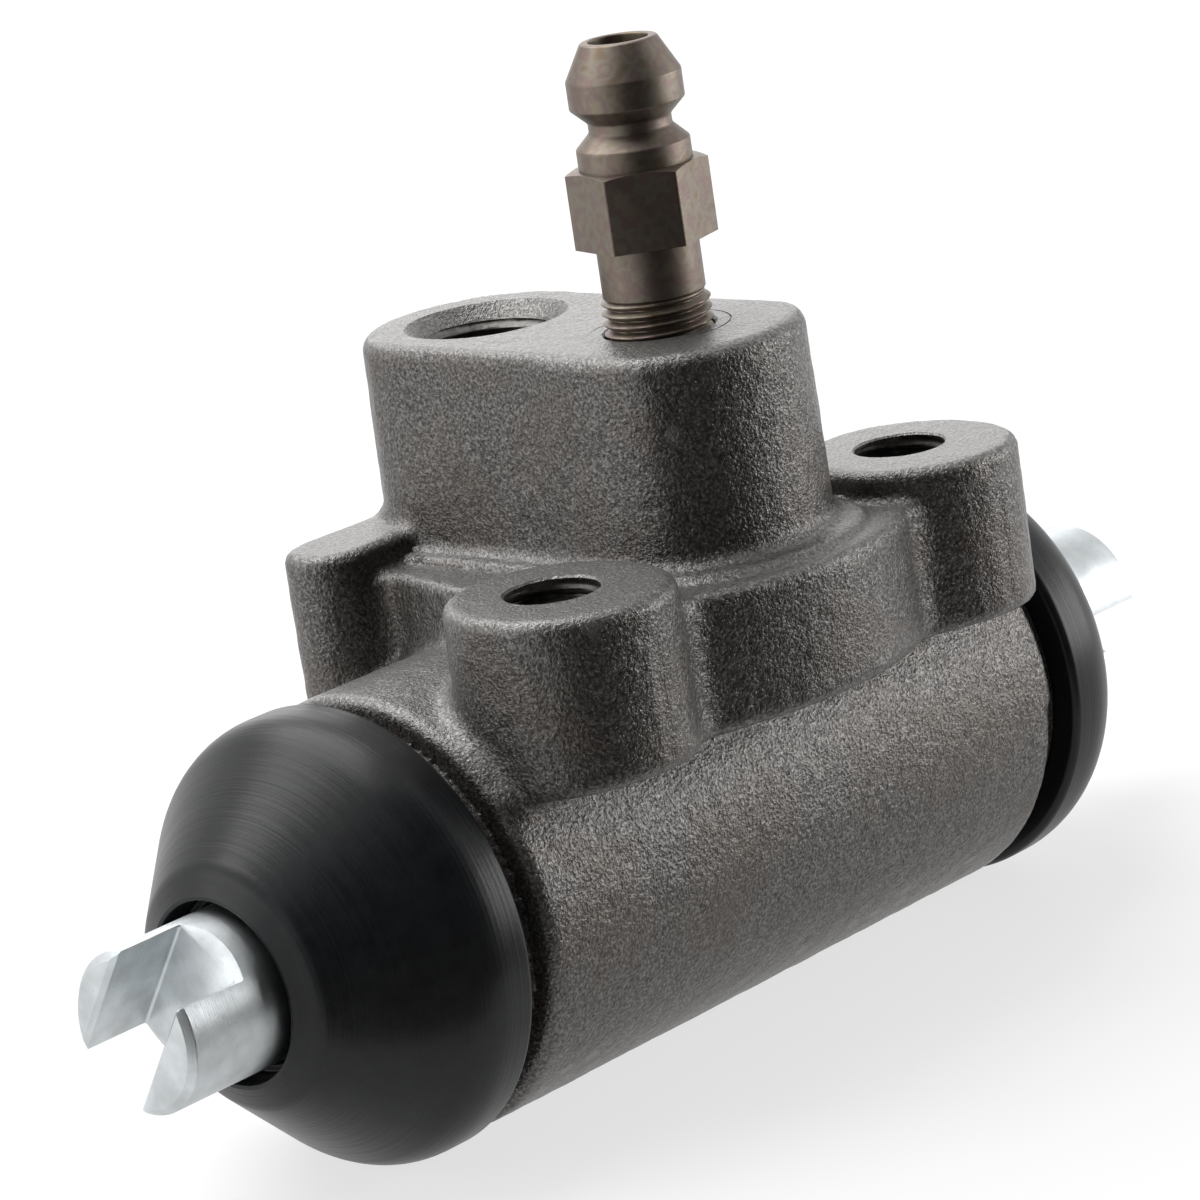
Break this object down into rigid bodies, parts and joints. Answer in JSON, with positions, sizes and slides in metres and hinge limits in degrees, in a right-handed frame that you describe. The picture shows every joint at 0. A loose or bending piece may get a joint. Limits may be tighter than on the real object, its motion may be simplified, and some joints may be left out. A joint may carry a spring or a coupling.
{
  "type": "wheel cylinder",
  "caption": "Drum brake wheel cylinder: cast body with bolt pads, port boss and bleeder screw, slotted pistons in rubber dust boots at both ends.",
  "frame": {"origin": "on the mounting face, midway between the two tapped bolt holes", "axes": "+X along the bore, +Y from the bolt line towards the bore axis, +Z out of the mounting face"},
  "size_m": [0.105, 0.044, 0.0737],
  "materials": {
    "casting": "phosphated sand casting",
    "plated_steel": "bright zinc plate",
    "bleeder_finish": "dark olive chromate",
    "boot_rubber": "satin",
    "seal_rubber": "matt",
    "spring_steel": "plain drawn wire"
  },
  "bodies": {
    "housing": {"cylinder_body": "casting", "dust_boot_left": "boot_rubber", "dust_boot_right": "boot_rubber", "return_spring": "spring_steel"},
    "seal_left": {"piston_cup_left": "seal_rubber", "cup_expander_left": "spring_steel"},
    "seal_right": {"piston_cup_right": "seal_rubber", "cup_expander_right": "spring_steel"},
    "piston_left": {"piston_left": "plated_steel"},
    "piston_right": {"piston_right": "plated_steel"},
    "bleeder": {"bleeder_screw": "bleeder_finish"}
  },
  "joints": [
    {"name": "left_piston_slide", "type": "slide", "parent": "housing", "child": "seal_left", "axis": [-1, 0, 0], "range_m": [-0.004, 0.006], "stiffness_N_per_m": 800, "deforming": ["return_spring"]},
    {"name": "left_piston_turn", "type": "hinge", "parent": "seal_left", "child": "piston_left", "pos_m": [-0.0237, 0.0122, -0.0224], "axis": [1, 0, 0], "continuous": true},
    {"name": "right_piston_slide", "type": "slide", "parent": "housing", "child": "seal_right", "axis": [1, 0, 0], "range_m": [-0.004, 0.006], "stiffness_N_per_m": 800, "deforming": ["return_spring"]},
    {"name": "right_piston_turn", "type": "hinge", "parent": "seal_right", "child": "piston_right", "pos_m": [0.0237, 0.0122, -0.0224], "axis": [1, 0, 0], "continuous": true},
    {"name": "bleeder_turn", "type": "hinge", "parent": "housing", "child": "bleeder", "pos_m": [0, 0.00445, 0.0137], "axis": [0, 0, 1], "range_deg": [0, 180]}
  ]
}
